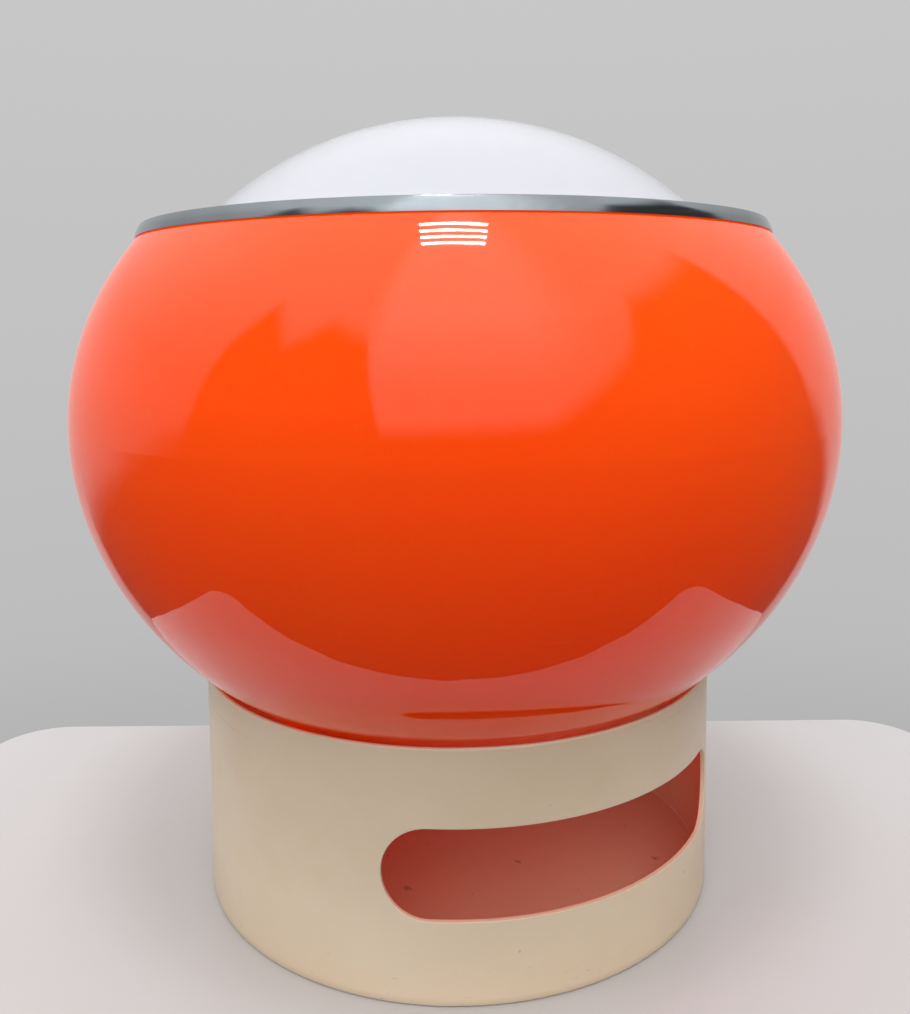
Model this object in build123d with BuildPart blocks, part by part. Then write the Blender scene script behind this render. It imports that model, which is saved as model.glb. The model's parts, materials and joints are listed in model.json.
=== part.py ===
from build123d import *

import os
from math import asin, cos, degrees, radians, sin

os.makedirs("parts", exist_ok=True)

# A free-standing table lamp: a translucent blown bowl, open at the top, stands in the mouth of an
# open-topped cylindrical base with a wide round-ended window. A chromed ring trims the bowl's mouth
# and carries a loose domed diffuser. A steel bridge inside the base, a threaded tube and two nuts
# clamp the bowl, and the tube carries a screw lampholder and its bulb.
# Millimetres, +Z up, -Y the front. The origin is on the table, on the lamp's axis.
# Azimuths run from the front (-Y) towards +X.

# ---- Driving dimensions ----

# Base
base_radius = 137.0
base_height = 117.6
base_wall = 2.5
base_floor = 2.5
base_edge_round = 0.8
base_rim_round = 0.9
base_corner_round = 0.8
window_low = 39.3
window_high = 81.5
window_left = -14.6
window_right = 71.4
window_edge_round = 0.4
underside_recess_radius = 100.0
underside_recess_depth = 0.6

# Feet
foot_stand_out = 0.3
foot_radius = 8.0
foot_thickness = 1.5
foot_circle = 115.0
foot_count = 4
foot_turn = 72.6
foot_clearance = 0.1
foot_chamfer = 0.2

# Bowl
bowl_radius = 200.0
bowl_middle = 248.6
bowl_upper_rise = 165.5
bowl_lower_drop = 175.2
bowl_wall = 4.0
bowl_seat = 78.0
bowl_mouth = 345.3
bowl_hole_radius = 5.3
bowl_edge_round = 1.0

# Rim ring
ring_radius = 165.9
ring_low = 342.1
ring_top = 348.5
ring_top_radius = 163.1
ring_skin = 0.7
ring_bulge = 0.35
ring_ledge = 346.9
ring_ledge_radius = 158.6
ring_inner_radius = 154.6
ring_roof = 345.7
ring_inner_low = 341.3
ring_edge_round = 0.8

# Diffuser
dome_radius = 185.0
dome_middle = 221.1
dome_wall = 3.0
brim_radius = 158.2
brim_thickness = 2.5
brim_fillet = 4.0

# Bridge, its bosses and the clamping stack
bridge_turn = 27.6
bridge_thickness = 2.5
bridge_width = 40.0
bridge_reach = 130.0
bridge_rib_depth = 4.0
boss_low = 50.0
boss_reach = 123.0
boss_spread = 24.0
boss_radius = 6.0
boss_hole_radius = 1.95
boss_hole_depth = 16.0
screw_shank_radius = 1.9
screw_head_radius = 3.8
screw_head_height = 2.4
screw_length = 13.0
screw_slot_width = 1.0
screw_slot_depth = 1.1
seat_washer_radius = 30.0
seat_washer_thickness = 2.0
fibre_washer_radius = 22.0
fibre_washer_thickness = 1.5
clamp_washer_radius = 28.0
clamp_washer_thickness = 2.0
lower_washer_radius = 14.0
lower_washer_thickness = 1.5
nut_across_flats = 14.0
nut_height = 4.0
nut_chamfer = 0.6

# Threaded tube
tube_radius = 5.0
tube_bore_radius = 3.5
tube_low = 62.0
tube_hole_clearance = 0.2
thread_clearance = 0.05

# Lampholder
holder_bottom = 90.0
holder_neck_radius = 8.0
holder_neck_height = 7.0
holder_radius = 20.0
holder_shoulder = 106.0
holder_thread_low = 112.0
holder_thread_radius = 17.8
holder_joint = 120.0
holder_cavity_radius = 15.6
holder_cavity_low = 100.0
holder_top = 152.0
holder_neck_fillet = 3.0
holder_shoulder_round = 4.0
holder_foot_round = 0.8
core_radius = 15.3
core_low = 108.0
core_flange_radius = 17.6
core_top = 123.0
core_chamfer = 0.8
skirt_thread_radius = 18.0
skirt_bore_radius = 14.6
skirt_groove_count = 24
skirt_groove_radius = 0.8
skirt_gap = 0.3
skirt_outer_round = 1.5
skirt_inner_round = 1.0
sleeve_bore_radius = 13.4
sleeve_skin = 0.5
sleeve_top = 150.0
sleeve_flange_inner = 11.5
sleeve_flange_outer = 14.4
sleeve_flange_thickness = 0.6
contact_width = 7.0
contact_thickness = 0.6
contact_top = 127.3
contact_heel = -9.0
contact_bend = -3.5
contact_crest = -1.0
contact_end = 5.5
terminal_reach = 8.0
terminal_width = 6.0
terminal_low = 106.0
terminal_high = 114.0
terminal_hole_radius = 1.2
terminal_clearance = 0.2

# Bulb, seated
bulb_tip = 127.6
bulb_tip_radius = 4.6
bulb_tip_height = 1.8
bulb_insulator_height = 3.0
bulb_insulator_radius = 10.5
bulb_cap_radius = 12.2
bulb_thread_radius = 13.05
bulb_thread_pitch = 3.62
bulb_thread_turns = 4
bulb_thread_start = 1.0
bulb_cap_top = 154.6
bulb_cap_skin = 0.4
bulb_cap_shell = 4.0
bulb_neck_depth = 6.0
bulb_neck_clearance = 0.3
bulb_radius = 30.0
bulb_length = 105.0
bulb_belly_angle = -38.0
bulb_crown_angle = 30.0
bulb_glass_skin = 0.8
bulb_stem_clearance = 0.1
bulb_stem_flare = 14.0
bulb_stem_radius = 3.5
bulb_stem_top = 190.0
bulb_stem_tip_radius = 2.0
bulb_lead_foot = 1.5
bulb_lead_spread = 13.0
bulb_lead_top = 204.0
bulb_lead_radius = 0.4
bulb_coil_rise = 3.0
bulb_coil_bow = 5.0

# Cord inlet
inlet_height = 20.0
inlet_hole_radius = 5.5
inlet_bore_radius = 3.3
inlet_flange_radius = 8.0
inlet_flange_thickness = 1.6
inlet_inner_gap = 0.25

# Terminal block and inner leads
block_reach = 46.0
block_length = 18.0
block_width = 16.0
block_height = 12.0
block_chamfer = 1.0
lead_radius = 1.1
lead_spacing = 1.25
lead_pole = 4.0
lead_entry = 7.5
lead_dip = 48.0
lead_turn = 54.0
lead_turn_run = 12.0
lead_dip_reach = 9.0
lead_dip_side = 2.2
lead_fan_side = 3.6
lead_fan_rise = 4.5
lead_end = 2.0
lead_bends = [12.0, 7.5, 7.5, 4.0, 3.5]

# ---- Dimensions that follow ----

base_low = foot_stand_out
floor_top = base_low + base_floor
base_inner_radius = base_radius - base_wall
window_half_height = (window_high - window_low) / 2
window_centre_height = (window_high + window_low) / 2
window_cap_angle = degrees(asin(window_half_height / base_radius))
bridge_top = bowl_seat - seat_washer_thickness
bridge_low = bridge_top - bridge_thickness
bowl_floor = bowl_seat + bowl_wall
fibre_washer_top = bowl_floor + fibre_washer_thickness
clamp_washer_top = fibre_washer_top + clamp_washer_thickness
tube_top = holder_cavity_low - 2.0


def at_azimuth(radius, azimuth, height):
    """The point at a radius, an azimuth from the front and a height."""
    turn = radians(azimuth)
    return Vector(radius * sin(turn), -radius * cos(turn), height)


def bridge_plane(height):
    """A level plane whose X runs along the bridge."""
    turn = radians(bridge_turn)
    return Plane(origin=(0, 0, height), x_dir=(cos(turn), sin(turn), 0), z_dir=(0, 0, 1))


def washer(inner, outer, thickness, low):
    """A flat washer on the lamp's axis."""
    with BuildPart() as ring:
        with BuildSketch(Plane.XY.offset(low)):
            Circle(outer)
            Circle(inner, mode=Mode.SUBTRACT)
        extrude(amount=thickness)
    return ring


def hex_nut(low):
    """A thin hexagon nut on the lamp's axis, its corners chamfered."""
    with BuildPart() as nut:
        with BuildSketch(Plane.XY.offset(low)):
            RegularPolygon(radius=nut_across_flats / 2, side_count=6, major_radius=False)
        extrude(amount=nut_height)
        with BuildSketch(Plane.XY.offset(low)):
            Circle(nut_across_flats / 2 + nut_chamfer)
        extrude(amount=nut_height, mode=Mode.INTERSECT)
        with BuildSketch(Plane.XY.offset(low)):
            Circle(tube_radius + thread_clearance)
        extrude(amount=nut_height, mode=Mode.SUBTRACT)
    return nut


def save(piece, name):
    """Label a piece and write it under the same name."""
    piece.part.label = name
    export_step(piece.part, f"parts/{name}.step")


# ---- Base shell ----

with BuildPart() as base_shell:
    with BuildSketch(Plane.XZ):
        with BuildLine():
            Polyline(
                (0, base_low),
                (base_radius, base_low),
                (base_radius, base_height),
                (base_inner_radius, base_height),
                (base_inner_radius, floor_top),
                (0, floor_top),
                close=True,
            )
        make_face()
        fillet(vertices().sort_by_distance((base_radius, base_low))[0], base_edge_round)
        fillet(vertices().sort_by_distance((base_inner_radius, floor_top))[0], base_corner_round)
        fillet(vertices().sort_by_distance((base_radius, base_height))[0], base_rim_round)
        fillet(vertices().sort_by_distance((base_inner_radius, base_height))[0], base_rim_round)
    revolve(axis=Axis.Z)
    # The window: a band cut square to the wall, with a round end at each side.
    band_start = window_left + window_cap_angle
    band_end = window_right - window_cap_angle
    band_plane = Plane(
        origin=(0, 0, 0),
        x_dir=at_azimuth(1, band_start, 0),
        z_dir=at_azimuth(1, band_start - 90, 0),
    )
    with BuildSketch(band_plane):
        with Locations((base_radius, window_centre_height)):
            Rectangle(4 * base_wall, 2 * window_half_height)
    revolve(axis=Axis.Z, revolution_arc=band_end - band_start, mode=Mode.SUBTRACT)
    for end in (band_start, band_end):
        outward = at_azimuth(1, end, 0)
        centre = at_azimuth(base_radius - 2 * base_wall, end, window_centre_height)
        with BuildSketch(Plane(origin=centre, z_dir=outward)):
            Circle(window_half_height)
        extrude(amount=4 * base_wall, mode=Mode.SUBTRACT)
    window_edges = edges().filter_by_position(Axis.Z, window_low - 1, window_high + 1)
    fillet(window_edges.filter_by(GeomType.LINE, reverse=True), window_edge_round)
    # Two pairs of screw bosses for the bridge, high on the wall, each pair in one block.
    with BuildSketch(bridge_plane(boss_low)):
        with GridLocations(2 * boss_reach, boss_spread, 2, 2):
            Circle(boss_radius)
        with GridLocations(2 * (boss_reach + boss_radius), 0, 2, 1):
            Rectangle(2 * boss_radius, boss_spread + 2 * boss_radius)
    extrude(amount=bridge_low - boss_low)
    with BuildSketch(bridge_plane(bridge_low)):
        with GridLocations(2 * boss_reach, boss_spread, 2, 2):
            Circle(boss_hole_radius)
    extrude(amount=-boss_hole_depth, mode=Mode.SUBTRACT)
    # Underside: a shallow recess and the four foot pockets.
    with BuildSketch(Plane.XY.offset(base_low)):
        Circle(underside_recess_radius)
    extrude(amount=underside_recess_depth, mode=Mode.SUBTRACT)
    with BuildSketch(Plane.XY.offset(base_low)):
        with PolarLocations(foot_circle, foot_count, start_angle=foot_turn):
            Circle(foot_radius + foot_clearance)
    extrude(amount=foot_thickness - foot_stand_out, mode=Mode.SUBTRACT)
    # The cord inlet, low in the back.
    with BuildSketch(Plane.XZ.offset(-base_radius - base_wall)):
        with Locations((0, inlet_height)):
            Circle(inlet_hole_radius)
    extrude(amount=4 * base_wall, mode=Mode.SUBTRACT)
save(base_shell, "base_shell")

# ---- Feet ----

with BuildPart() as base_feet:
    with BuildSketch():
        with PolarLocations(foot_circle, foot_count, start_angle=foot_turn):
            Circle(foot_radius)
    extrude(amount=foot_thickness)
    chamfer(edges().group_by(Axis.Z)[0], foot_chamfer)
save(base_feet, "base_feet")

# ---- Bowl ----

bowl_inner_radius = bowl_radius - bowl_wall
bowl_inner_rise = bowl_upper_rise - bowl_wall
bowl_inner_drop = bowl_lower_drop - bowl_wall
mouth_turn = degrees(asin((bowl_mouth - bowl_middle) / bowl_upper_rise))
seat_turn = degrees(asin((bowl_seat - bowl_middle) / bowl_lower_drop))
inner_mouth_turn = degrees(asin((bowl_mouth - bowl_middle) / bowl_inner_rise))
inner_seat_turn = degrees(asin((bowl_floor - bowl_middle) / bowl_inner_drop))

with BuildPart() as shade_bowl:
    with BuildSketch(Plane.XZ):
        with BuildLine():
            middle = (0, bowl_middle)
            outer_low = EllipticalCenterArc(
                middle, bowl_radius, bowl_lower_drop, seat_turn, arc_size=-seat_turn
            )
            outer_high = EllipticalCenterArc(middle, bowl_radius, bowl_upper_rise, 0, arc_size=mouth_turn)
            inner_high = EllipticalCenterArc(
                middle, bowl_inner_radius, bowl_inner_rise, 0, arc_size=inner_mouth_turn
            )
            inner_low = EllipticalCenterArc(
                middle, bowl_inner_radius, bowl_inner_drop, inner_seat_turn, arc_size=-inner_seat_turn
            )
            Line(outer_high @ 1, inner_high @ 1)
            Polyline(
                inner_low @ 0,
                (bowl_hole_radius, bowl_floor),
                (bowl_hole_radius, bowl_seat),
                outer_low @ 0,
            )
        make_face()
        fillet(vertices().sort_by(Axis.Y)[-2:], bowl_edge_round)
        fillet(vertices().sort_by_distance(outer_low @ 0)[0], 2 * bowl_wall)
        fillet(vertices().sort_by_distance(inner_low @ 0)[0], bowl_wall)
    revolve(axis=Axis.Z)
save(shade_bowl, "shade_bowl")

# ---- Rim ring ----

with BuildPart() as rim_ring:
    with BuildSketch(Plane.XZ):
        with BuildLine():
            outer_foot = Vector(ring_radius, ring_low)
            outer_head = Vector(ring_top_radius, ring_top)
            bulge = (outer_foot + outer_head) / 2 + Vector(ring_bulge, ring_bulge / 3)
            ThreePointArc(outer_foot, bulge, outer_head)
            Polyline(
                outer_head,
                (ring_ledge_radius, ring_top),
                (ring_ledge_radius, ring_ledge),
                (ring_inner_radius, ring_ledge),
                (ring_inner_radius, ring_inner_low),
                (ring_inner_radius + ring_skin, ring_inner_low),
                (ring_inner_radius + ring_skin, ring_roof),
                (ring_top_radius - ring_skin, ring_roof),
                (ring_radius - ring_skin, ring_low),
                outer_foot,
            )
        make_face()
        fillet(vertices().sort_by_distance(outer_head)[0], ring_edge_round)
        fillet(vertices().sort_by_distance((ring_ledge_radius, ring_top))[0], ring_edge_round / 2)
        fillet(vertices().sort_by_distance((ring_inner_radius, ring_ledge))[0], ring_edge_round / 2)
    revolve(axis=Axis.Z)
save(rim_ring, "rim_ring")

# ---- Diffuser ----

brim_top = ring_ledge + brim_thickness
dome_inner_radius = dome_radius - dome_wall

with BuildPart() as top_diffuser:
    with BuildSketch(Plane.XZ):
        with BuildLine():
            centre = (0, dome_middle)
            outer_foot_turn = degrees(asin((brim_top - dome_middle) / dome_radius))
            inner_foot_turn = degrees(asin((ring_ledge - dome_middle) / dome_inner_radius))
            outer_dome = CenterArc(centre, dome_radius, outer_foot_turn, 90 - outer_foot_turn)
            inner_dome = CenterArc(centre, dome_inner_radius, inner_foot_turn, 90 - inner_foot_turn)
            Line(outer_dome @ 1, inner_dome @ 1)
            Polyline(
                outer_dome @ 0,
                (brim_radius, brim_top),
                (brim_radius, ring_ledge),
                inner_dome @ 0,
            )
        make_face()
        fillet(vertices().sort_by_distance(outer_dome @ 0)[0], brim_fillet)
        fillet(vertices().sort_by_distance((brim_radius, brim_top))[0], brim_thickness / 3)
    revolve(axis=Axis.Z)
save(top_diffuser, "top_diffuser")

# ---- Bridge and its screws ----

with BuildPart() as bridge:
    with BuildSketch(bridge_plane(bridge_low)):
        Rectangle(2 * bridge_reach, bridge_width)
        fillet(vertices(), boss_radius)
        Circle(tube_radius + tube_hole_clearance, mode=Mode.SUBTRACT)
        with GridLocations(2 * boss_reach, boss_spread, 2, 2):
            Circle(screw_shank_radius + tube_hole_clearance, mode=Mode.SUBTRACT)
    extrude(amount=bridge_thickness)
    # Down-turned flanges stiffen the strap between the bosses.
    flange_length = 2 * (boss_reach - 2 * boss_radius)
    with BuildSketch(bridge_plane(bridge_low)):
        with GridLocations(0, bridge_width - bridge_thickness, 1, 2):
            Rectangle(flange_length, bridge_thickness)
    extrude(amount=-bridge_rib_depth)
save(bridge, "bridge")

with BuildPart() as bridge_screws:
    with BuildSketch(bridge_plane(bridge_top)):
        with GridLocations(2 * boss_reach, boss_spread, 2, 2):
            Circle(screw_head_radius)
    extrude(amount=screw_head_height)
    fillet(edges().group_by(Axis.Z)[-1], screw_head_height / 2)
    with BuildSketch(bridge_plane(bridge_top + screw_head_height)):
        with GridLocations(2 * boss_reach, boss_spread, 2, 2):
            Rectangle(screw_head_radius, screw_slot_width)
            Rectangle(screw_slot_width, screw_head_radius)
    extrude(amount=-screw_slot_depth, mode=Mode.SUBTRACT)
    with BuildSketch(bridge_plane(bridge_top)):
        with GridLocations(2 * boss_reach, boss_spread, 2, 2):
            Circle(screw_shank_radius)
    extrude(amount=-screw_length)
save(bridge_screws, "bridge_screws")

# ---- Clamping stack, from below the bridge to above the bowl's floor ----

tube_hole = tube_radius + tube_hole_clearance
lower_washer_low = bridge_low - lower_washer_thickness

save(hex_nut(lower_washer_low - nut_height), "lower_nut")
save(washer(tube_hole, lower_washer_radius, lower_washer_thickness, lower_washer_low), "lower_washer")
save(washer(tube_hole, seat_washer_radius, seat_washer_thickness, bridge_top), "seat_washer")
save(washer(tube_hole, fibre_washer_radius, fibre_washer_thickness, bowl_floor), "fibre_washer")
save(washer(tube_hole, clamp_washer_radius, clamp_washer_thickness, fibre_washer_top), "clamp_washer")
save(hex_nut(clamp_washer_top), "upper_nut")
save(washer(tube_bore_radius, tube_radius, tube_top - tube_low, tube_low), "threaded_tube")

# ---- Lampholder ----

with BuildPart() as holder_cap:
    with BuildSketch(Plane.XZ):
        with BuildLine():
            Polyline(
                (tube_radius + thread_clearance, holder_bottom),
                (holder_neck_radius, holder_bottom),
                (holder_neck_radius, holder_bottom + holder_neck_height),
                (holder_radius, holder_shoulder),
                (holder_radius, holder_thread_low),
                (holder_thread_radius, holder_thread_low),
                (holder_thread_radius, holder_joint),
                (holder_cavity_radius, holder_joint),
                (holder_cavity_radius, holder_shoulder),
                (holder_neck_radius, holder_cavity_low),
                (tube_radius + thread_clearance, holder_cavity_low),
                close=True,
            )
        make_face()
        neck_top = (holder_neck_radius, holder_bottom + holder_neck_height)
        fillet(vertices().sort_by_distance(neck_top)[0], holder_neck_fillet)
        fillet(vertices().sort_by_distance((holder_radius, holder_shoulder))[0], holder_shoulder_round)
        fillet(vertices().sort_by_distance((holder_neck_radius, holder_bottom))[0], holder_foot_round)
    revolve(axis=Axis.Z)
save(holder_cap, "holder_cap")

with BuildPart() as holder_core:
    with BuildSketch(Plane.XY.offset(core_low)):
        Circle(core_radius)
    extrude(amount=core_top - core_low)
    with BuildSketch(Plane.XY.offset(holder_joint)):
        Circle(core_flange_radius)
    extrude(amount=core_top - holder_joint)
    chamfer(edges().group_by(Axis.Z)[0], core_chamfer)
    # Pockets for the two terminals, open at the bottom and at the side.
    with BuildSketch(bridge_plane(core_low)):
        with GridLocations(0, 2 * terminal_reach, 1, 2):
            Rectangle(terminal_width, terminal_width)
    extrude(amount=terminal_high - core_low, mode=Mode.SUBTRACT)
save(holder_core, "holder_core")

with BuildPart() as holder_terminals:
    with BuildSketch(bridge_plane(terminal_low)):
        with GridLocations(0, 2 * terminal_reach, 1, 2):
            Rectangle(terminal_width - terminal_clearance, terminal_width - terminal_clearance)
            Circle(terminal_hole_radius, mode=Mode.SUBTRACT)
    extrude(amount=terminal_high - terminal_low)
save(holder_terminals, "holder_terminals")

with BuildPart() as holder_contact:
    # A springy tongue, folded up from the core's top to the bulb's tip.
    contact_shift = contact_thickness / 2
    with BuildSketch(Plane.XZ):
        with BuildLine():
            Polyline(
                (contact_heel, core_top),
                (contact_bend, core_top),
                (contact_crest, contact_top - contact_thickness),
                (contact_end, contact_top - contact_thickness),
                (contact_end, contact_top),
                (contact_crest - contact_shift, contact_top),
                (contact_bend - contact_shift, core_top + contact_thickness),
                (contact_heel, core_top + contact_thickness),
                close=True,
            )
        make_face()
    extrude(amount=contact_width / 2, both=True)
save(holder_contact, "holder_contact")

with BuildPart() as holder_sleeve:
    with BuildSketch(Plane.XZ):
        with BuildLine():
            Polyline(
                (sleeve_flange_inner, core_top),
                (sleeve_flange_outer, core_top),
                (sleeve_flange_outer, core_top + sleeve_flange_thickness),
                (sleeve_bore_radius + sleeve_skin, core_top + sleeve_flange_thickness),
                (sleeve_bore_radius + sleeve_skin, sleeve_top),
                (sleeve_bore_radius, sleeve_top),
                (sleeve_bore_radius, core_top + sleeve_flange_thickness),
                (sleeve_flange_inner, core_top + sleeve_flange_thickness),
                close=True,
            )
        make_face()
    revolve(axis=Axis.Z)
save(holder_sleeve, "holder_sleeve")

with BuildPart() as holder_skirt:
    with BuildSketch(Plane.XZ):
        with BuildLine():
            Polyline(
                (skirt_thread_radius, holder_thread_low + skirt_gap),
                (holder_radius, holder_thread_low + skirt_gap),
                (holder_radius, holder_top),
                (skirt_bore_radius, holder_top),
                (skirt_bore_radius, core_top),
                (skirt_thread_radius, core_top),
                close=True,
            )
        make_face()
        fillet(vertices().sort_by_distance((holder_radius, holder_top))[0], skirt_outer_round)
        fillet(vertices().sort_by_distance((skirt_bore_radius, holder_top))[0], skirt_inner_round)
    revolve(axis=Axis.Z)
    # Grip flutes round the lower half.
    with BuildSketch(Plane.XY.offset(holder_thread_low)):
        with PolarLocations(holder_radius + skirt_groove_radius / 2, skirt_groove_count):
            Circle(skirt_groove_radius)
    extrude(amount=holder_radius, mode=Mode.SUBTRACT)
save(holder_skirt, "holder_skirt")

# ---- Bulb ----

insulator_low = bulb_tip + bulb_tip_height
cap_low = insulator_low + bulb_insulator_height
thread_low = cap_low + bulb_thread_start
thread_step = bulb_thread_pitch / 4
bulb_top = bulb_tip + bulb_length
bulb_middle = bulb_top - bulb_radius

with BuildPart() as bulb_contact:
    with BuildSketch(Plane.XY.offset(bulb_tip)):
        Circle(bulb_tip_radius)
    extrude(amount=bulb_tip_height)
    fillet(edges().group_by(Axis.Z)[0], bulb_tip_height / 2)
save(bulb_contact, "bulb_contact")

with BuildPart() as bulb_insulator:
    with BuildSketch(Plane.XY.offset(insulator_low)):
        Circle(bulb_tip_radius + bulb_cap_skin)
    with BuildSketch(Plane.XY.offset(cap_low)):
        Circle(bulb_insulator_radius)
    loft()
save(bulb_insulator, "bulb_insulator")

with BuildPart() as bulb_cap:
    with BuildSketch(Plane.XZ):
        with BuildLine():
            outline = [(bulb_cap_radius, cap_low)]
            for turn in range(bulb_thread_turns):
                foot = thread_low + turn * bulb_thread_pitch
                outline.append((bulb_cap_radius, foot))
                outline.append((bulb_thread_radius, foot + thread_step))
                outline.append((bulb_thread_radius, foot + 2 * thread_step))
                outline.append((bulb_cap_radius, foot + 3 * thread_step))
            outline.append((bulb_thread_radius, bulb_cap_top - bulb_cap_shell))
            outline.append((bulb_thread_radius, bulb_cap_top))
            outline.append((bulb_thread_radius - bulb_cap_skin, bulb_cap_top))
            outline.append((bulb_cap_radius - bulb_cap_skin, bulb_cap_top - bulb_cap_shell))
            outline.append((bulb_cap_radius - bulb_cap_skin, cap_low + bulb_cap_skin))
            outline.append((0, cap_low + bulb_cap_skin))
            outline.append((0, cap_low))
            Polyline(*outline, close=True)
        make_face()
    revolve(axis=Axis.Z)
save(bulb_cap, "bulb_cap")

with BuildPart() as bulb_glass:
    neck_low = bulb_cap_top - bulb_neck_depth
    neck_radius = bulb_cap_radius - bulb_cap_skin - bulb_neck_clearance
    belly_turn = radians(bulb_belly_angle)
    crown_turn = radians(bulb_crown_angle)
    belly = Vector(bulb_radius * cos(belly_turn), bulb_middle + bulb_radius * sin(belly_turn))
    skin = bulb_glass_skin
    inner_radius = bulb_radius - skin
    inner_belly = Vector(inner_radius * cos(belly_turn), bulb_middle + inner_radius * sin(belly_turn))
    belly_run = (-sin(belly_turn), cos(belly_turn))
    with BuildSketch(Plane.XZ):
        with BuildLine():
            outer_neck = Line((neck_radius, neck_low), (neck_radius, bulb_cap_top))
            outer_side = Spline(outer_neck @ 1, belly, tangents=[(0, 1), belly_run])
            outer_crown = ThreePointArc(
                belly,
                (bulb_radius * cos(crown_turn), bulb_middle + bulb_radius * sin(crown_turn)),
                (0, bulb_top),
            )
            Line((0, bulb_top), (0, bulb_top - skin))
            inner_crown = ThreePointArc(
                (0, bulb_top - skin),
                (inner_radius * cos(crown_turn), bulb_middle + inner_radius * sin(crown_turn)),
                inner_belly,
            )
            inner_neck_top = (neck_radius - skin, bulb_cap_top)
            inner_side = Spline(inner_neck_top, inner_belly, tangents=[(0, 1), belly_run])
            Polyline(inner_neck_top, (neck_radius - skin, neck_low), (neck_radius, neck_low))
        make_face()
    revolve(axis=Axis.Z)
save(bulb_glass, "bulb_glass")

with BuildPart() as bulb_stem:
    # Flared at the foot, where it is sealed to the neck, and pinched at the top.
    stem_foot = neck_radius - skin - bulb_stem_clearance
    with BuildSketch(Plane.XZ):
        with BuildLine():
            Polyline(
                (0, neck_low),
                (stem_foot, neck_low),
                (stem_foot, neck_low + bulb_stem_tip_radius),
                (bulb_stem_radius, neck_low + bulb_stem_flare),
                (bulb_stem_radius, bulb_stem_top - bulb_stem_tip_radius),
                (bulb_stem_tip_radius, bulb_stem_top),
                (0, bulb_stem_top),
                close=True,
            )
        make_face()
    revolve(axis=Axis.Z)
save(bulb_stem, "bulb_stem")

with BuildPart() as bulb_filament:
    # Two lead wires and the coiled filament hung between them.
    for side in (-1, 1):
        foot = (side * bulb_lead_foot, 0, bulb_stem_top - bulb_stem_tip_radius)
        tip = (side * bulb_lead_spread, 0, bulb_lead_top)
        with BuildLine() as lead_line:
            Line(foot, tip)
        with BuildSketch(Plane(origin=foot, z_dir=lead_line.line % 0)):
            Circle(bulb_lead_radius)
        sweep(path=lead_line.line)
    with BuildLine() as coil_line:
        ThreePointArc(
            (-bulb_lead_spread, 0, bulb_lead_top),
            (0, bulb_coil_bow, bulb_lead_top + bulb_coil_rise),
            (bulb_lead_spread, 0, bulb_lead_top),
        )
    with BuildSketch(Plane(origin=coil_line.line @ 0, z_dir=coil_line.line % 0)):
        Circle(bulb_lead_radius)
    sweep(path=coil_line.line)
save(bulb_filament, "bulb_filament")

# ---- Cord inlet bush ----

with BuildPart() as inlet_bush:
    outer_face = base_radius
    inner_face = base_inner_radius - inlet_inner_gap
    with BuildSketch(Plane.XZ.offset(-outer_face)):
        with Locations((0, inlet_height)):
            Circle(inlet_flange_radius)
    extrude(amount=-inlet_flange_thickness)
    with BuildSketch(Plane.XZ.offset(-inner_face)):
        with Locations((0, inlet_height)):
            Circle(inlet_flange_radius)
    extrude(amount=inlet_flange_thickness)
    with BuildSketch(Plane.XZ.offset(-inner_face)):
        with Locations((0, inlet_height)):
            Circle(inlet_hole_radius)
    extrude(amount=inner_face - outer_face)
    fillet(edges().filter_by(GeomType.CIRCLE).sort_by(Axis.Y)[-1], inlet_flange_thickness / 2)
    with BuildSketch(Plane.XZ.offset(-outer_face - inlet_flange_thickness)):
        with Locations((0, inlet_height)):
            Circle(inlet_bore_radius)
    extrude(amount=outer_face - inner_face + 2 * inlet_flange_thickness, mode=Mode.SUBTRACT)
save(inlet_bush, "inlet_bush")

# ---- Terminal block and inner leads ----

with BuildPart() as terminal_block:
    with BuildSketch(bridge_plane(bridge_low)):
        with Locations((block_reach, 0)):
            Rectangle(block_length, block_width)
            Circle(screw_shank_radius, mode=Mode.SUBTRACT)
    extrude(amount=-block_height)
    chamfer(edges().group_by(Axis.Z)[0], block_chamfer)
save(terminal_block, "terminal_block")

block_pole = block_reach - block_length / 2
for name, side in (("lead_live", 1), ("lead_neutral", -1)):
    turn = radians(bridge_turn)
    route = [
        (block_pole, side * lead_pole, bridge_low - lead_entry),
        (block_pole - lead_turn_run, side * lead_pole, lead_turn),
        (lead_dip_reach, side * lead_dip_side, lead_dip),
        (0, side * lead_spacing, lead_turn),
        (0, side * lead_spacing, tube_top),
        (0, side * lead_fan_side, tube_top + lead_fan_rise),
        (0, side * terminal_reach, terminal_low + lead_end),
    ]
    points = [(x * cos(turn) - y * sin(turn), x * sin(turn) + y * cos(turn), z) for x, y, z in route]
    with BuildPart() as lead:
        with BuildLine() as lead_line:
            FilletPolyline(*points, radius=lead_bends)
        with BuildSketch(Plane(origin=lead_line.line @ 0, z_dir=lead_line.line % 0)):
            Circle(lead_radius)
        sweep(path=lead_line.line)
    save(lead, name)
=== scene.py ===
import json
import math

import bpy
from mathutils import Matrix, Vector

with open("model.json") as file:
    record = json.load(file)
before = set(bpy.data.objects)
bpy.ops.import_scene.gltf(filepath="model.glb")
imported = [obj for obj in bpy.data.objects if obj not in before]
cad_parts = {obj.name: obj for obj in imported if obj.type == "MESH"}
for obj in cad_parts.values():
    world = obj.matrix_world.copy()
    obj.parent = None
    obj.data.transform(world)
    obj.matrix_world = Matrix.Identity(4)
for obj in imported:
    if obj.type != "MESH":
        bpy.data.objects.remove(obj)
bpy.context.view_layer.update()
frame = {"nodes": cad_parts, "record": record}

# A table lamp: an orange acrylic bowl with a chromed rim and an opal dome, on an ivory base with a
# window. Everything is in metres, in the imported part's frame: +Z up, -Y the front, the origin on
# the table under the lamp's axis.

nodes = frame["nodes"]

# ---- Camera ----

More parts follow.
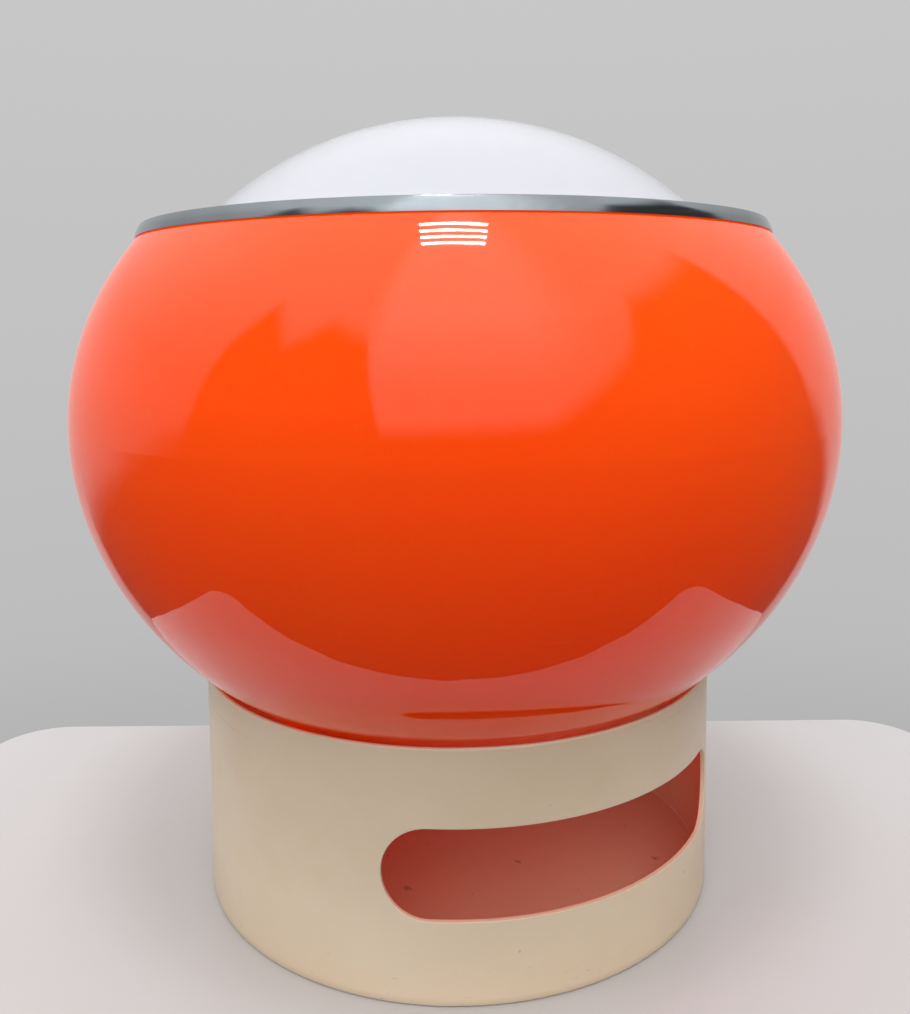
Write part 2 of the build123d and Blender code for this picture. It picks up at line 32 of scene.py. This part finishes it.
CAMERA_DISTANCE = 0.5469
CAMERA_HEIGHT = 0.3013
CAMERA_PITCH = math.radians(5.14)
CAMERA_ROLL = math.radians(-0.52)
CAMERA_LENS = 35.23
CAMERA_SENSOR = 36.0
CAMERA_SHIFT_Y = -0.0981

# ---- Stage ----

TABLE_WIDTH = 0.665
TABLE_FRONT = -0.183
TABLE_BACK = 0.172
TABLE_THICKNESS = 0.02
TABLE_CORNER = 0.045
TABLE_CORNER_STEPS = 10
TABLE_EDGE = 0.002
TABLE_EDGE_STEPS = 3

# ---- Light: sizes and places in metres, powers in watts ----

TUBE_COUNT = 4
TUBE_SIZE = (0.50, 0.035)
TUBE_PITCH = 0.09
TUBE_FIRST_Y = -0.50
TUBE_HEIGHT = 2.2
TUBE_POWER = 2.5

LAMP_MIDDLE = (0, 0, 0.2)
SOFT_TOP_SIZE = (1.6, 1.6)
SOFT_TOP_PLACE = (-0.3, 0.2, 2.4)
SOFT_TOP_POWER = 1.5
FRONT_FILL_SIZE = (2.4, 1.6)
FRONT_FILL_PLACE = (-0.4, -2.4, 1.1)
FRONT_FILL_POWER = 15.0

# The room's skyline, in degrees: azimuth from the front towards +X, and the elevation up to which
# it is dark. Set from where the bowl mirrors the room.
SKYLINE = [
    (-180, -40), (-150, -40), (-138, -16), (-110, -12), (-78, 0), (-70, 28), (-62, 42), (-52, 30),
    (-40, 40), (-27, 36), (-20, 4), (25, 6), (38, 14), (52, 26), (62, 42), (98, 44), (116, 2),
    (138, -16), (150, -40), (180, -40),
]
SKYLINE_LOW = -40
SKYLINE_SPAN = 90
SKYLINE_BLUR = math.radians(5)
FURNITURE_COLOUR = (0.085, 0.078, 0.072, 1.0)

# How bright the pale walls and ceiling are at each elevation.
WALL_LEVELS = [(-90, 0.16), (-40, 0.30), (-16, 0.51), (0, 0.54), (18, 0.575), (44, 1.05), (90, 1.10)]

# How much brighter the middle of the room's front is, at each azimuth.
DOORWAY_LEVELS = [(-180, 1.0), (-30, 1.0), (-22, 1.7), (24, 1.7), (50, 1.0), (180, 1.0)]

# ---- Heights above the table between which the finishes, the painted shadow and the painted light change ----

# The lowest height ends the painted contact shadow along the base's foot.
FOOT_PAINTED_SHADOW_TOP = 0.004
FOOT_NICKS_TOP = 0.022
FOOT_DARKENING_TOP = 0.035
RIM_RUBBED = (0.085, 0.112)
# The bowl's painted light: where its colour turns, where it grows, how strong it is, and the bright
# band at its bottom.
BOWL_PAINTED_GLOW_HUE_TURNS = (0.16, 0.34)
BOWL_PAINTED_GLOW_GROWS = (0.13, 0.27)
BOWL_PAINTED_GLOW = (0.08, 0.31)
BOWL_PAINTED_BOTTOM_LIGHT_ENDS = (0.100, 0.114)
BOWL_PAINTED_BOTTOM_LIGHT = 0.50


def make_camera():
    """The photograph's viewing angle: level with the bowl's upper half, a little pitched down."""
    data = bpy.data.cameras.new("camera")
    data.lens = CAMERA_LENS
    data.sensor_width = CAMERA_SENSOR
    data.shift_y = CAMERA_SHIFT_Y
    data.clip_start = 0.01
    camera = bpy.data.objects.new("camera", data)
    bpy.context.scene.collection.objects.link(camera)
    place = Matrix.Translation((0, -CAMERA_DISTANCE, CAMERA_HEIGHT))
    tilt = Matrix.Rotation(math.pi / 2 - CAMERA_PITCH, 4, "X")
    roll = Matrix.Rotation(CAMERA_ROLL, 4, "Z")
    camera.matrix_world = place @ tilt @ roll
    bpy.context.scene.camera = camera


# ---- Node helpers ----


def feed(tree, socket, value):
    """Link an output to a socket, or set the socket's own value."""
    if isinstance(value, bpy.types.NodeSocket):
        tree.links.new(value, socket)
    else:
        socket.default_value = value


class Shader:
    """A material with a Principled shader, and short ways to add the nodes that feed it."""

    def __init__(self, name):
        self.material = bpy.data.materials.new(name)
        self.material.use_nodes = True
        self.tree = self.material.node_tree
        self.principled = self.tree.nodes["Principled BSDF"]
        self.coordinates = self.tree.nodes.new("ShaderNodeTexCoord").outputs["Object"]

    def set(self, **values):
        """Constants on the shader's own sockets; an underscore stands for a space."""
        for key, value in values.items():
            self.principled.inputs[key.replace("_", " ")].default_value = value

    def link(self, output, socket):
        self.tree.links.new(output, self.principled.inputs[socket])

    def node(self, kind, inputs=(), **settings):
        node = self.tree.nodes.new(kind)
        for key, value in settings.items():
            setattr(node, key, value)
        for key, value in dict(inputs).items():
            feed(self.tree, node.inputs[key], value)
        return node

    def stretched(self, scale):
        """Object coordinates scaled along each axis, for brushed or drawn surfaces."""
        return self.node("ShaderNodeMapping", {"Vector": self.coordinates, "Scale": scale}).outputs[0]

    def noise(self, scale, detail=3.0, rough=0.5, vector=None, distortion=0.0):
        inputs = {
            "Vector": vector or self.coordinates,
            "Scale": scale,
            "Detail": detail,
            "Roughness": rough,
            "Distortion": distortion,
        }
        return self.node("ShaderNodeTexNoise", inputs).outputs["Fac"]

    def spots(self, scale):
        """Distance to scattered points, for specks and pits."""
        inputs = {"Vector": self.coordinates, "Scale": scale}
        return self.node("ShaderNodeTexVoronoi", inputs).outputs["Distance"]

    def height(self):
        """Height above the table."""
        return self.node("ShaderNodeSeparateXYZ", {"Vector": self.coordinates}).outputs["Z"]

    def spread(self, value, low, high, to_low=0.0, to_high=1.0):
        """Rescale a value from one range to another, held at the ends."""
        inputs = {0: value, 1: low, 2: high, 3: to_low, 4: to_high}
        return self.node("ShaderNodeMapRange", inputs).outputs[0]

    def times(self, a, b):
        return self.node("ShaderNodeMath", {0: a, 1: b}, operation="MULTIPLY").outputs[0]

    def blend(self, factor, a, b):
        """A colour between a and b."""
        node = self.node("ShaderNodeMix", data_type="RGBA")
        feed(self.tree, node.inputs[0], factor)
        for index, colour in ((6, a), (7, b)):
            plain = isinstance(colour, tuple)
            feed(self.tree, node.inputs[index], (*colour, 1.0) if plain else colour)
        return node.outputs[2]

    def bump(self, height, strength, distance, after=None):
        inputs = {"Height": height, "Strength": strength, "Distance": distance}
        if after is not None:
            inputs["Normal"] = after
        return self.node("ShaderNodeBump", inputs).outputs["Normal"]


# ---- Materials, one function for each slot ----


def ivory_plastic():
    """Moulded plastic, once white, yellowed unevenly and lightly scuffed, with a painted contact shadow
    along its foot.
    """
    s = Shader("ivory_plastic")
    clouds = s.spread(s.noise(9.0, 4.0, 0.55), 0.35, 0.68)
    colour = s.blend(clouds, (0.84, 0.705, 0.53), (0.79, 0.64, 0.455))
    fine = s.spread(s.noise(160.0, 2.0), 0.3, 0.7)
    colour = s.blend(s.times(fine, 0.12), colour, (0.84, 0.76, 0.63))
    # Darker and browner towards the bottom, over the lowest few centimetres.
    low_down = s.spread(s.height(), 0.0, FOOT_DARKENING_TOP, 0.30, 0.0)
    colour = s.blend(low_down, colour, (0.66, 0.47, 0.29))
    # Painted shadow: a dark band within a few millimetres of the table stands in for the contact
    # shadow.
    painted_contact_shadow = s.spread(s.height(), 0.0, FOOT_PAINTED_SHADOW_TOP, 0.45, 0.0)
    colour = s.blend(painted_contact_shadow, colour, (0.36, 0.26, 0.17))
    specks = s.spread(s.spots(55.0), 0.03, 0.055, 0.55, 0.0)
    speck_gate = s.spread(s.noise(7.0, 2.0), 0.5, 0.62)
    colour = s.blend(s.times(specks, speck_gate), colour, (0.30, 0.23, 0.16))
    # Rubbed lines under the rim, where the bowl has been turned, and dark nicks along the foot.
    rubbed = s.spread(s.noise(1.0, 4.0, 0.6, s.stretched((7.0, 7.0, 900.0))), 0.60, 0.72)
    near_rim = s.spread(s.height(), *RIM_RUBBED)
    colour = s.blend(s.times(s.times(rubbed, near_rim), 0.35), colour, (0.52, 0.42, 0.29))
    nicks = s.spread(s.noise(1.0, 2.0, 0.5, s.stretched((110.0, 110.0, 900.0))), 0.70, 0.76)
    near_foot = s.spread(s.height(), FOOT_PAINTED_SHADOW_TOP, FOOT_NICKS_TOP, 1.0, 0.0)
    colour = s.blend(s.times(s.times(nicks, near_foot), 0.6), colour, (0.26, 0.19, 0.12))
    s.link(colour, "Base Color")
    s.link(s.spread(s.noise(38.0, 5.0, 0.6), 0.3, 0.7, 0.30, 0.46), "Roughness")
    skin = s.bump(s.noise(420.0, 3.0, 0.6), 0.10, 0.0006)
    waves = s.bump(s.noise(22.0, 1.0), 0.10, 0.002, skin)
    s.link(waves, "Normal")
    s.set(IOR=1.53, Subsurface_Weight=0.12, Subsurface_Scale=0.003, Subsurface_Radius=(1.0, 0.7, 0.45))
    return s.material


def orange_acrylic():
    """Glossy translucent orange acrylic with painted light standing in for the daylight through it, and
    wipe marks in its polish.
    """
    s = Shader("orange_acrylic")
    clouds = s.spread(s.noise(6.0, 2.0, 0.45), 0.35, 0.7)
    colour = s.blend(clouds, (0.99, 0.085, 0.002), (0.96, 0.070, 0.0015))
    dust = s.spread(s.spots(70.0), 0.018, 0.032, 0.5, 0.0)
    dusty_areas = s.spread(s.noise(5.0, 2.0), 0.50, 0.62)
    colour = s.blend(s.times(dust, dusty_areas), colour, (1.0, 0.42, 0.24))
    scuffs = s.spread(s.noise(1.0, 3.0, 0.6, s.stretched((18.0, 18.0, 420.0)), 0.4), 0.66, 0.74)
    colour = s.blend(s.times(s.times(scuffs, dusty_areas), 0.25), colour, (1.0, 0.30, 0.15))
    s.link(colour, "Base Color")
    # Painted light: emission, stronger and more orange high up, stands in for the daylight that comes
    # in through the dome and leaves through the wall.
    upper = s.spread(s.height(), *BOWL_PAINTED_GLOW_HUE_TURNS)
    s.link(s.blend(upper, (0.80, 0.022, 0.0), (1.0, 0.100, 0.003)), "Emission Color")
    painted_glow = s.spread(s.height(), *BOWL_PAINTED_GLOW_GROWS, *BOWL_PAINTED_GLOW)
    # More painted light: a strong band of emission at the bottom stands in for the daylight that
    # reaches the inside of the base, and lights it.
    painted_bottom_light = s.spread(s.height(), *BOWL_PAINTED_BOTTOM_LIGHT_ENDS, BOWL_PAINTED_BOTTOM_LIGHT, 0.0)
    painted_glow = s.node("ShaderNodeMath", {0: painted_glow, 1: painted_bottom_light}, operation="ADD").outputs[0]
    s.link(s.times(painted_glow, s.spread(s.noise(5.0, 2.0), 0.3, 0.7, 0.9, 1.1)), "Emission Strength")
    wiped = s.noise(4.0, 6.0, 0.7, s.stretched((1.0, 1.0, 5.0)), 0.6)
    s.link(s.spread(wiped, 0.42, 0.75, 0.018, 0.06), "Roughness")
    s.link(s.bump(s.noise(14.0, 1.0, 0.4), 0.05, 0.0012), "Normal")
    s.set(IOR=1.53, Subsurface_Weight=0.85, Subsurface_Scale=0.006, Subsurface_Radius=(1.0, 0.35, 0.08))
    return s.material


def chrome():
    """Polished plate with hairline wear along the ring."""
    s = Shader("chrome")
    smears = s.spread(s.noise(9.0, 4.0, 0.6, s.stretched((1.0, 1.0, 0.2))), 0.42, 0.66)
    s.link(s.blend(smears, (0.33, 0.37, 0.40), (0.26, 0.28, 0.30)), "Base Color")
    hairs = s.noise(900.0, 2.0, 0.5, s.stretched((0.05, 0.05, 1.0)))
    s.link(s.spread(hairs, 0.3, 0.75, 0.10, 0.20), "Roughness")
    s.link(s.bump(s.noise(60.0, 2.0), 0.06, 0.0004), "Normal")
    s.set(Metallic=1.0)
    return s.material


def opal_acrylic():
    """Milky white acrylic, glossy, very slightly clouded."""
    s = Shader("opal_acrylic")
    clouds = s.spread(s.noise(11.0, 3.0), 0.35, 0.7)
    s.link(s.blend(clouds, (0.635, 0.665, 0.72), (0.605, 0.635, 0.69)), "Base Color")
    s.link(s.spread(s.noise(26.0, 5.0, 0.65), 0.35, 0.75, 0.08, 0.20), "Roughness")
    s.link(s.bump(s.noise(17.0, 1.0), 0.04, 0.0012), "Normal")
    s.set(IOR=1.49, Subsurface_Weight=0.6, Subsurface_Scale=0.006, Subsurface_Radius=(1.0, 1.0, 1.0))
    return s.material


def black_rubber():
    s = Shader("black_rubber")
    dust = s.spread(s.noise(90.0, 5.0, 0.7), 0.45, 0.75)
    s.link(s.blend(s.times(dust, 0.5), (0.018, 0.018, 0.018), (0.07, 0.065, 0.06)), "Base Color")
    s.link(s.spread(dust, 0.0, 1.0, 0.62, 0.85), "Roughness")
    s.link(s.bump(s.noise(1500.0, 3.0), 0.25, 0.0002), "Normal")
    return s.material


def zinc_steel():
    """Bright zinc plate, faintly yellow and blue, spangled at the scale of the sheet's grain."""
    s = Shader("zinc_steel")
    tint = s.spread(s.noise(30.0, 3.0, 0.6, distortion=1.0), 0.35, 0.68)
    s.link(s.blend(tint, (0.64, 0.65, 0.66), (0.66, 0.61, 0.48)), "Base Color")
    rolled = s.noise(300.0, 4.0, 0.6, s.stretched((1.0, 0.15, 1.0)))
    s.link(s.spread(rolled, 0.3, 0.7, 0.28, 0.45), "Roughness")
    s.link(s.bump(s.noise(700.0, 2.0), 0.12, 0.0002), "Normal")
    s.set(Metallic=1.0)
    return s.material


def red_fibre():
    s = Shader("red_fibre")
    fibres = s.spread(s.noise(260.0, 5.0, 0.7, s.stretched((1.0, 0.25, 1.0))), 0.3, 0.7)
    s.link(s.blend(fibres, (0.23, 0.035, 0.022), (0.33, 0.075, 0.045)), "Base Color")
    s.set(Roughness=0.65)
    s.link(s.bump(fibres, 0.3, 0.0002), "Normal")
    return s.material


def brass():
    """Stamped brass with a thin brown tarnish."""
    s = Shader("brass")
    tarnish = s.spread(s.noise(120.0, 5.0, 0.65), 0.4, 0.75)
    s.link(s.blend(tarnish, (0.78, 0.56, 0.22), (0.40, 0.25, 0.10)), "Base Color")
    s.link(s.spread(tarnish, 0.0, 1.0, 0.22, 0.5), "Roughness")
    s.link(s.bump(s.noise(800.0, 2.0), 0.1, 0.0001), "Normal")
    s.set(Metallic=1.0)
    return s.material


def black_bakelite():
    """Phenolic moulding: near black with brown flow marks, polished."""
    s = Shader("black_bakelite")
    flow = s.spread(s.noise(60.0, 4.0, 0.6, distortion=2.0), 0.5, 0.8)
    s.link(s.blend(flow, (0.012, 0.010, 0.009), (0.045, 0.022, 0.012)), "Base Color")
    s.link(s.spread(s.noise(200.0, 4.0), 0.3, 0.7, 0.16, 0.30), "Roughness")
    s.link(s.bump(s.noise(500.0, 2.0), 0.06, 0.0002), "Normal")
    return s.material


def steatite():
    s = Shader("steatite")
    grain = s.spread(s.noise(900.0, 4.0, 0.7), 0.3, 0.7)
    s.link(s.blend(grain, (0.74, 0.70, 0.62), (0.82, 0.79, 0.72)), "Base Color")
    s.set(Roughness=0.6, Subsurface_Weight=0.1, Subsurface_Scale=0.002)
    s.link(s.bump(grain, 0.2, 0.0001), "Normal")
    return s.material


def frosted_glass():
    """A bulb's envelope, etched inside."""
    s = Shader("frosted_glass")
    clouds = s.spread(s.noise(70.0, 3.0), 0.3, 0.7)
    s.link(s.blend(clouds, (0.93, 0.93, 0.91), (0.97, 0.97, 0.96)), "Base Color")
    s.link(s.spread(clouds, 0.0, 1.0, 0.38, 0.5), "Roughness")
    s.set(IOR=1.5, Transmission_Weight=0.55)
    return s.material


def clear_glass():
    s = Shader("clear_glass")
    seeds = s.spread(s.noise(260.0, 3.0), 0.3, 0.7)
    s.link(s.blend(seeds, (0.90, 0.95, 0.93), (0.97, 0.98, 0.98)), "Base Color")
    s.link(s.spread(seeds, 0.0, 1.0, 0.02, 0.06), "Roughness")
    s.set(IOR=1.5, Transmission_Weight=0.9)
    return s.material


def nickel():
    s = Shader("nickel")
    dull = s.spread(s.noise(150.0, 5.0, 0.65), 0.35, 0.75)
    s.link(s.blend(dull, (0.70, 0.67, 0.62), (0.50, 0.47, 0.42)), "Base Color")
    s.link(s.spread(dull, 0.0, 1.0, 0.22, 0.42), "Roughness")
    s.link(s.bump(s.noise(900.0, 2.0), 0.1, 0.0001), "Normal")
    s.set(Metallic=1.0)
    return s.material


def solder():
    s = Shader("solder")
    dull = s.spread(s.noise(500.0, 4.0, 0.7), 0.3, 0.7)
    s.link(s.blend(dull, (0.45, 0.45, 0.46), (0.30, 0.30, 0.31)), "Base Color")
    s.link(s.spread(dull, 0.0, 1.0, 0.35, 0.6), "Roughness")
    s.link(s.bump(dull, 0.3, 0.0002), "Normal")
    s.set(Metallic=1.0)
    return s.material


def black_glass():
    s = Shader("black_glass")
    flow = s.spread(s.noise(400.0, 3.0), 0.4, 0.7)
    s.link(s.blend(flow, (0.008, 0.008, 0.010), (0.03, 0.028, 0.035)), "Base Color")
    s.link(s.spread(flow, 0.0, 1.0, 0.08, 0.18), "Roughness")
    return s.material


def tungsten():
    s = Shader("tungsten")
    coil = s.spread(s.noise(3000.0, 1.0), 0.3, 0.7)
    s.link(s.blend(coil, (0.22, 0.22, 0.23), (0.36, 0.36, 0.37)), "Base Color")
    s.link(s.bump(coil, 0.5, 0.0002), "Normal")
    s.set(Metallic=1.0, Roughness=0.4)
    return s.material


def nylon():
    s = Shader("nylon")
    clouds = s.spread(s.noise(80.0, 3.0), 0.3, 0.7)
    s.link(s.blend(clouds, (0.72, 0.69, 0.58), (0.80, 0.77, 0.67)), "Base Color")
    s.link(s.bump(s.noise(900.0, 3.0), 0.15, 0.0002), "Normal")
    s.set(Roughness=0.5, Subsurface_Weight=0.3, Subsurface_Scale=0.003)
    return s.material


def wire_plastic(name, light, dark):
    s = Shader(name)
    clouds = s.spread(s.noise(200.0, 3.0), 0.3, 0.7)
    s.link(s.blend(clouds, light, dark), "Base Color")
    s.link(s.bump(s.noise(1200.0, 2.0), 0.1, 0.0002), "Normal")
    s.set(Roughness=0.42)
    return s.material


def brown_pvc():
    return wire_plastic("brown_pvc", (0.10, 0.035, 0.014), (0.07, 0.024, 0.010))


def blue_pvc():
    return wire_plastic("blue_pvc", (0.012, 0.06, 0.26), (0.008, 0.04, 0.19))


MATERIALS = {
    "ivory_plastic": ivory_plastic,
    "orange_acrylic": orange_acrylic,
    "chrome": chrome,
    "opal_acrylic": opal_acrylic,
    "black_rubber": black_rubber,
    "zinc_steel": zinc_steel,
    "red_fibre": red_fibre,
    "brass": brass,
    "black_bakelite": black_bakelite,
    "steatite": steatite,
    "bulb_glass": frosted_glass,
    "clear_glass": clear_glass,
    "nickel": nickel,
    "solder": solder,
    "black_glass": black_glass,
    "tungsten": tungsten,
    "nylon": nylon,
    "brown_pvc": brown_pvc,
    "blue_pvc": blue_pvc,
}


def dress_nodes():
    """Each CAD node gets the material of its slot in the record."""
    made = {slot: make() for slot, make in MATERIALS.items()}
    for part in frame["record"]["subparts"]:
        mesh = nodes[part["node"]].data
        mesh.materials.clear()
        mesh.materials.append(made[part["material_slot"]])
        mesh.polygons.foreach_set("material_index", [0] * len(mesh.polygons))


# ---- Stage and light ----


def pale_laminate():
    s = Shader("pale_laminate")
    clouds = s.spread(s.noise(5.0, 3.0), 0.3, 0.7)
    s.link(s.blend(clouds, (0.60, 0.592, 0.596), (0.625, 0.617, 0.62)), "Base Color")
    s.link(s.spread(s.noise(60.0, 4.0), 0.3, 0.7, 0.30, 0.42), "Roughness")
    return s.material


def make_table():
    """A plain pale top with rounded corners, its upper face at height 0."""
    right = TABLE_WIDTH / 2 - TABLE_CORNER
    back = TABLE_BACK - TABLE_CORNER
    front = TABLE_FRONT + TABLE_CORNER
    corners = ((right, back), (-right, back), (-right, front), (right, front))
    outline = []
    for quarter, (x, y) in enumerate(corners):
        for step in range(TABLE_CORNER_STEPS + 1):
            turn = (quarter + step / TABLE_CORNER_STEPS) * math.pi / 2
            outline.append((x + TABLE_CORNER * math.cos(turn), y + TABLE_CORNER * math.sin(turn)))
    count = len(outline)
    points = [(x, y, z) for z in (-TABLE_THICKNESS, 0) for x, y in outline]
    top = tuple(range(count, 2 * count))
    bottom = tuple(reversed(range(count)))
    sides = [(i, (i + 1) % count, count + (i + 1) % count, count + i) for i in range(count)]
    mesh = bpy.data.meshes.new("table_top")
    mesh.from_pydata(points, [], [top, bottom, *sides])
    mesh.materials.append(pale_laminate())
    table = bpy.data.objects.new("table_top", mesh)
    bpy.context.scene.collection.objects.link(table)
    edge = table.modifiers.new("edge", "BEVEL")
    edge.width = TABLE_EDGE
    edge.segments = TABLE_EDGE_STEPS


def area_light(name, size, place, target, power, mirrored=True):
    """A rectangle of light; unless it is mirrored, it lights the lamp without showing in its gloss."""
    data = bpy.data.lights.new(name, "AREA")
    data.shape = "RECTANGLE"
    data.size, data.size_y = size
    data.energy = power
    light = bpy.data.objects.new(name, data)
    bpy.context.scene.collection.objects.link(light)
    light.location = place
    light.rotation_mode = "QUATERNION"
    light.rotation_quaternion = (Vector(target) - Vector(place)).to_track_quat("-Z", "Y")
    light.visible_glossy = mirrored


def make_lights():
    """Ceiling tubes side by side, a soft light above and a fill from the room in front."""
    for index in range(TUBE_COUNT):
        y = TUBE_FIRST_Y - TUBE_PITCH * index
        area_light(f"tube_{index}", TUBE_SIZE, (0.0, y, TUBE_HEIGHT), (0, y, 0), TUBE_POWER)
    soft_lights = (
        ("soft_top", SOFT_TOP_SIZE, SOFT_TOP_PLACE, SOFT_TOP_POWER),
        ("front_fill", FRONT_FILL_SIZE, FRONT_FILL_PLACE, FRONT_FILL_POWER),
    )
    for name, size, place, power in soft_lights:
        area_light(name, size, place, LAMP_MIDDLE, power, mirrored=False)


def make_world():
    """A room: a pale ceiling, a pale wall behind the lamp, and dark furniture in front of it."""
    world = bpy.data.worlds.new("room")
    bpy.context.scene.world = world
    world.use_nodes = True
    tree = world.node_tree
    background = tree.nodes["Background"]

    def math_node(operation, *values):
        node = tree.nodes.new("ShaderNodeMath")
        node.operation = operation
        for index, value in enumerate(values):
            feed(tree, node.inputs[index], value)
        return node.outputs[0]

    def mixed(factor, a, b):
        node = tree.nodes.new("ShaderNodeMix")
        node.data_type = "RGBA"
        for index, value in ((0, factor), (6, a), (7, b)):
            feed(tree, node.inputs[index], value)
        return node.outputs[2]

    def ramp(value, stops):
        node = tree.nodes.new("ShaderNodeValToRGB")
        node.color_ramp.interpolation = "LINEAR"
        for index, (position, level) in enumerate(stops):
            elements = node.color_ramp.elements
            element = elements[index] if index < 2 else elements.new(position)
            element.position = position
            element.color = (level, level, level, 1.0)
        tree.links.new(value, node.inputs[0])
        return node.outputs[0]

    direction = tree.nodes.new("ShaderNodeTexCoord").outputs["Generated"]
    parts = tree.nodes.new("ShaderNodeSeparateXYZ")
    tree.links.new(direction, parts.inputs[0])
    frontward = math_node("MULTIPLY", parts.outputs["Y"], -1.0)
    azimuth = math_node("ARCTAN2", parts.outputs["X"], frontward)
    elevation = math_node("ARCSINE", parts.outputs["Z"])
    turn = math_node("MULTIPLY_ADD", azimuth, 1 / math.tau, 0.5)
    rise = math_node("MULTIPLY_ADD", elevation, 1 / math.pi, 0.5)

    skyline = ramp(turn, [(a / 360 + 0.5, (e - SKYLINE_LOW) / SKYLINE_SPAN) for a, e in SKYLINE])
    skyline = math_node("MULTIPLY_ADD", skyline, math.radians(SKYLINE_SPAN), math.radians(SKYLINE_LOW))
    above = tree.nodes.new("ShaderNodeMapRange")
    above.interpolation_type = "SMOOTHSTEP"
    tree.links.new(elevation, above.inputs["Value"])
    tree.links.new(math_node("SUBTRACT", skyline, SKYLINE_BLUR), above.inputs["From Min"])
    tree.links.new(math_node("ADD", skyline, SKYLINE_BLUR), above.inputs["From Max"])

    walls = ramp(rise, [(e / 180 + 0.5, level) for e, level in WALL_LEVELS])
    doorway = ramp(turn, [(a / 360 + 0.5, level) for a, level in DOORWAY_LEVELS])
    mirrored = mixed(above.outputs[0], FURNITURE_COLOUR, math_node("MULTIPLY", walls, doorway))
    # The furnished room lights the lamp and shows in its gloss. The camera sees only plain walls.
    seen_directly = tree.nodes.new("ShaderNodeLightPath").outputs["Is Camera Ray"]
    tree.links.new(mixed(seen_directly, mirrored, walls), background.inputs["Color"])
    background.inputs["Strength"].default_value = 1.0


# ---- Build ----

make_camera()
dress_nodes()
make_table()
make_lights()
make_world()
bpy.context.scene.view_settings.view_transform = "Standard"
